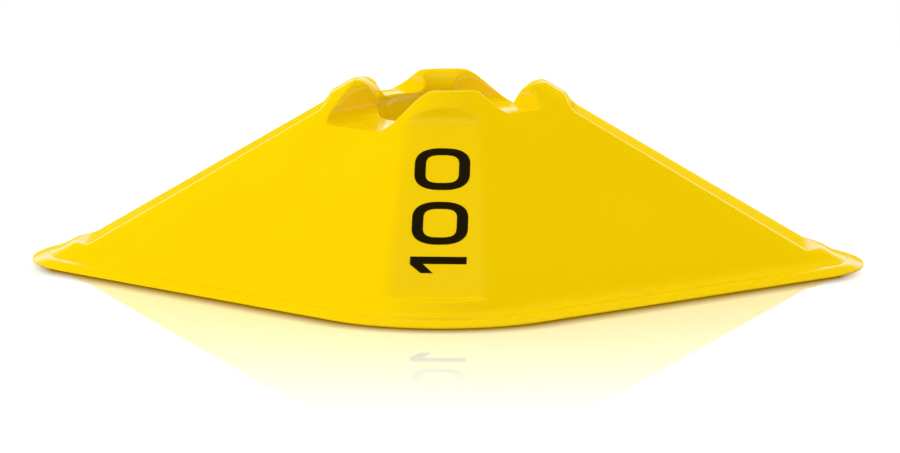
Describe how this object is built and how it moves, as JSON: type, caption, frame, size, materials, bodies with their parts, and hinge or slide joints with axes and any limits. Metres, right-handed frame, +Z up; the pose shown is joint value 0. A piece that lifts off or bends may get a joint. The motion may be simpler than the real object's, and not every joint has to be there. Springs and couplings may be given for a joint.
{
  "type": "sports marker cone",
  "caption": "Low square marker cone with rounded corners, a notched crown round an open central well, and a flat label panel on each corner.",
  "frame": {"origin": "centre of the square foot, on the surface that it stands on", "axes": "+Z up through the well; -Y is the front face, +X the right face; the wide notches run along Y and the narrow notches along X"},
  "size_m": [0.19, 0.19, 0.052],
  "materials": {
    "yellow_plastic": "satin"
  },
  "bodies": {
    "root": {"foot_brim": "yellow_plastic", "side_wall_front": "yellow_plastic", "side_wall_right": "yellow_plastic", "side_wall_back": "yellow_plastic", "side_wall_left": "yellow_plastic", "label_panel_front_right": "yellow_plastic", "label_panel_back_right": "yellow_plastic", "label_panel_back_left": "yellow_plastic", "label_panel_front_left": "yellow_plastic", "crown_tab_front_right": "yellow_plastic", "crown_tab_back_right": "yellow_plastic", "crown_tab_back_left": "yellow_plastic", "crown_tab_front_left": "yellow_plastic", "wide_notch_front": "yellow_plastic", "wide_notch_back": "yellow_plastic", "narrow_notch_right": "yellow_plastic", "narrow_notch_left": "yellow_plastic", "well_collar": "yellow_plastic"}
  },
  "joints": []
}
